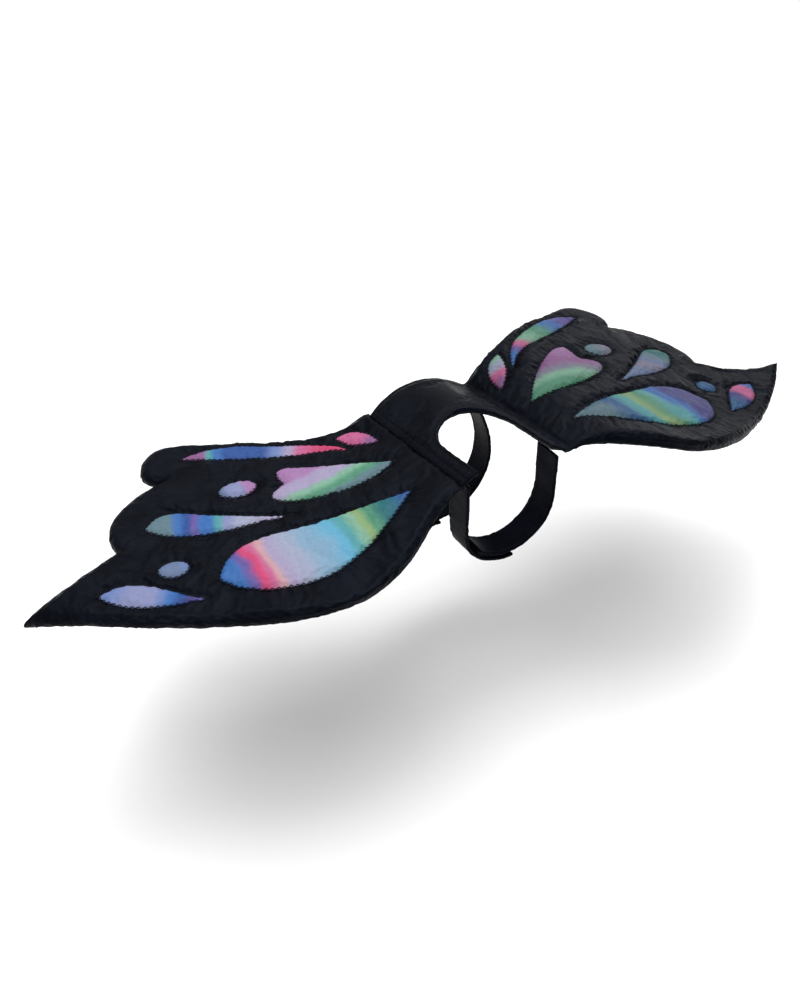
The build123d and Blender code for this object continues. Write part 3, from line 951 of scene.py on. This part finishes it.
def shimmer(name, start, end, stops, mottle_and_painted_shade):
    """Printed satin with bands of dye from one flat place to another, given in millimetres."""
    finish = Finish(name)
    way = Vector(end) - Vector(start)
    mapped = finish.add("Mapping", {
        "Vector": finish.place, "Location": (start[0] * MM, start[1] * MM, 0),
        "Rotation": (0, 0, math.atan2(way.y, way.x)), "Scale": (way.length * MM,) * 3,
    }, vector_type="TEXTURE").outputs[0]
    along = finish.add("SeparateXYZ", {0: mapped}).outputs["X"]
    slow = finish.noise(26.0, 1.5)
    moved = finish.add("Math", {0: slow, 1: SWAY, 2: along}, operation="MULTIPLY_ADD").outputs[0]
    centred = finish.add("Math", {0: moved, 1: SWAY / 2}, operation="SUBTRACT").outputs[0]
    bands = finish.ramp(centred, [(at, [c ** GAMMA for c in DYES[dye]]) for at, dye in stops])
    # a random mottle of the cloth's tone; its range per wing also holds painted shade, darker on the left
    # wing
    shade = finish.span(finish.noise(420.0, 4.0, Roughness=0.7), *mottle_and_painted_shade)
    mixed = finish.add("VectorMath", {0: bands, "Scale": shade}, operation="SCALE").outputs[0]
    finish.feed("Base Color", mixed)
    crinkle = finish.cloth_relief(0.7 * MM, 0.12 * MM, 170.0, 0.3 * MM)
    finish.feed("Roughness", finish.span(crinkle, 0.36, 0.52))
    finish.set(Sheen_Weight=0.03, Sheen_Roughness=0.35, Sheen_Tint=(0.8, 0.85, 1.0, 1))
    finish.set(Specular_IOR_Level=0.18)
    return finish.material


# %% Dye the panels
PRINTS = {
    ("right", "large_leaf"): ((236, -74), (78, -78), [
        (0.03, "azure"), (0.08, "azure"), (0.115, "violet"), (0.16, "hot_pink"), (0.195, "pink"),
        (0.23, "peach"), (0.27, "lilac"), (0.36, "pearl"), (0.47, "mist"), (0.57, "sky"), (0.62, "teal"),
        (0.67, "mint"), (0.72, "lime"), (0.78, "green"), (0.87, "sea"), (1.0, "royal"),
    ]),
    ("right", "teardrop"): ((262, 14), (160, -34), [
        (0.05, "slate"), (0.15, "slate"), (0.22, "azure"), (0.28, "royal"), (0.345, "violet"),
        (0.4, "azure"), (0.46, "azure"), (0.51, "teal"), (0.57, "haze"), (0.68, "pearl"),
        (0.85, "lilac"),
    ]),
    ("right", "heart"): ((118, 27), (112, -34), [
        (0.05, "orchid"), (0.3, "orchid"), (0.42, "lilac"), (0.56, "lilac"), (0.67, "mint"),
        (0.82, "green"), (1.0, "slate"),
    ]),
    ("right", "long_leaf"): ((208, 84), (88, 28), [
        (0.05, "plum"), (0.16, "plum"), (0.2, "teal"), (0.25, "azure"), (0.32, "royal"), (0.48, "royal"),
        (0.57, "periwinkle"), (0.68, "lilac"), (0.78, "pink"), (0.93, "hot_pink"),
    ]),
    ("right", "tip_teardrop"): ((316, -44), (252, -86), [
        (0.05, "periwinkle"), (0.3, "haze"), (0.5, "haze"), (0.59, "periwinkle"), (0.68, "azure"),
        (0.76, "royal"), (0.84, "indigo"), (0.95, "violet"),
    ]),
    ("right", "root_leaf"): ((82, 40), (62, 8), [
        (0.1, "pink"), (0.55, "pink"), (0.9, "plum"),
    ]),
    ("right", "small_oval"): ((198, 22), (166, 22), [
        (0.1, "steel"), (0.3, "haze"), (0.55, "haze"), (0.72, "orchid"),
    ]),
    ("right", "tip_oval"): ((272, -43), (248, -43), [
        (0.1, "steel"), (0.6, "steel"), (1.0, "periwinkle"),
    ]),
    ("left", "large_leaf"): ((232, -50), (88, -96), [
        (0.05, "indigo"), (0.29, "indigo"), (0.37, "azure"), (0.44, "teal"), (0.52, "green"),
        (0.6, "lime"), (0.68, "teal"), (0.78, "ocean"), (0.9, "slate"), (1.0, "slate"),
    ]),
    ("left", "teardrop"): ((250, 34), (214, -30), [
        (0.0, "green"), (0.15, "green"), (0.3, "sea"), (0.45, "slate"), (0.62, "steel"), (0.8, "dusk"),
        (1.0, "steel"),
    ]),
    ("left", "heart"): ((118, 27), (112, -34), [
        (0.05, "orchid"), (0.45, "plum"), (0.62, "dusk"), (0.78, "mint"), (0.95, "green"),
    ]),
    ("left", "long_leaf"): ((190, 90), (96, 18), [
        (0.1, "violet"), (0.3, "azure"), (0.5, "green"), (0.7, "mint"), (0.8, "pink"), (0.88, "violet"),
        (0.95, "azure"),
    ]),
    ("left", "tip_teardrop"): ((318, -44), (256, -84), [
        (0.0, "azure"), (0.1, "azure"), (0.25, "pink"), (0.37, "pink"), (0.5, "indigo"), (0.7, "ocean"),
    ]),
    ("left", "root_leaf"): ((74, 42), (68, 6), [
        (0.05, "mint"), (0.35, "pearl"), (0.6, "pink"), (0.9, "plum"),
    ]),
    ("left", "small_oval"): ((198, 22), (166, 22), [
        (0.2, "dusk"), (0.8, "slate"),
    ]),
    ("left", "tip_oval"): ((272, -43), (248, -43), [
        (0.1, "ocean"), (0.9, "ocean"),
    ]),
}
MOTTLE_AND_PAINTED_SHADE = {"right": (0.46, 0.74), "left": (0.32, 0.52)}       # the right wing's range is the cloth's random mottle; the left wing's is lower, painted shade for a wing turned away from the light


def dress(piece, material):
    """Give a piece its one material."""
    piece.data.materials.clear()
    piece.data.materials.append(material)


for (wing, name), (start, end, stops) in PRINTS.items():
    side = SIDES[wing]
    print_name = f"{wing}_{name}_print"
    ends = [(side * x, y, 0) for x, y in (start, end)]
    dress(panels[(wing, name)], shimmer(print_name, *ends, stops, MOTTLE_AND_PAINTED_SHADE[wing]))
for piece in (*pads.values(), yoke):
    dress(piece, satin)
for piece in stitches.values():
    dress(piece, thread_black)
for piece in straps.values():
    dress(piece, band_satin)
for (strap, half), piece in tapes.items():
    dress(piece, hook_cloth if half == "right" else loop_cloth)
print(len(PRINTS), "panels dyed")

# %% [markdown]
# ## Wire and its caps
# The wires and their caps are the CAD's own pieces, out of sight in the channel of each wing. They get a
# drawn steel with a fine grain, and a soft dark plastic.

# %% Wire, caps and floor


def plain(name, colours, rough, scale, height, metallic=0.0):
    """A hard finish whose colour and roughness drift with a fine noise."""
    finish = Finish(name)
    grain = finish.noise(scale, 3.0)
    finish.feed("Base Color", finish.ramp(grain, list(zip((0.3, 0.7), colours))))
    finish.feed("Roughness", finish.span(grain, *rough))
    finish.feed("Normal", finish.bump(grain, height))
    finish.set(Metallic=metallic)
    return finish.material


STEEL = (0.35, 0.35, 0.36), (0.5, 0.5, 0.5)
drawn_steel = plain("drawn_steel", STEEL, (0.25, 0.4), 600.0, 0.02 * MM, metallic=1.0)
soft_cap = plain("soft_cap", ((0.01,) * 3, (0.02,) * 3), (0.5, 0.65), 500.0, 0.05 * MM)
paper = plain("paper_floor", ((0.93,) * 3, (0.95,) * 3), (0.8, 0.9), 3.0, 0.0)
for wing in SIDES:
    dress(frame["nodes"][f"{wing}_wing_wire"], drawn_steel)
    dress(frame["nodes"][f"{wing}_wing_wire_caps"], soft_cap)
dress(floor, paper)

# %% [markdown]
# ## Riding
# The panels, stitches, yoke, straps and tapes each move with a body of the CAD model. A wing's pad crosses
# the root seam; it is given no body, and its points are only set in world places. Its panels and stitches lie
# beyond that line and move with the wing.

# %% Who rides on what
for wing, side in SIDES.items():
    body = f"{wing}_wing"
    shells = [f"{wing}_wing_{skin}" for skin in ("top_shell", "under_shell", "batting")]
    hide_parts(*shells)
    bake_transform(pads[wing])
    for name in PANELS:
        piece = panels[(wing, name)]
        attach(piece, body)
        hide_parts(f"{wing}_{name}_panel")
    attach(stitches[wing], body)
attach(yoke, "yoke")
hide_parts("yoke_cover", "yoke_lining", "yoke_batting")
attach(stitches["yoke"], "yoke")
for (strap, half), piece in straps.items():
    body = f"{strap}_strap_{half}_half"
    kind = "hook" if half == "right" else "loop"
    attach(piece, body)
    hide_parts(f"{strap}_strap_{half}")
    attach(tapes[(strap, half)], body)
    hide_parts(f"{strap}_strap_{kind}_tape")
    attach(stitches[(strap, half)], body)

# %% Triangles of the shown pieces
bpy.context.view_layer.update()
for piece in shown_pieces():
    piece.data.calc_loop_triangles()
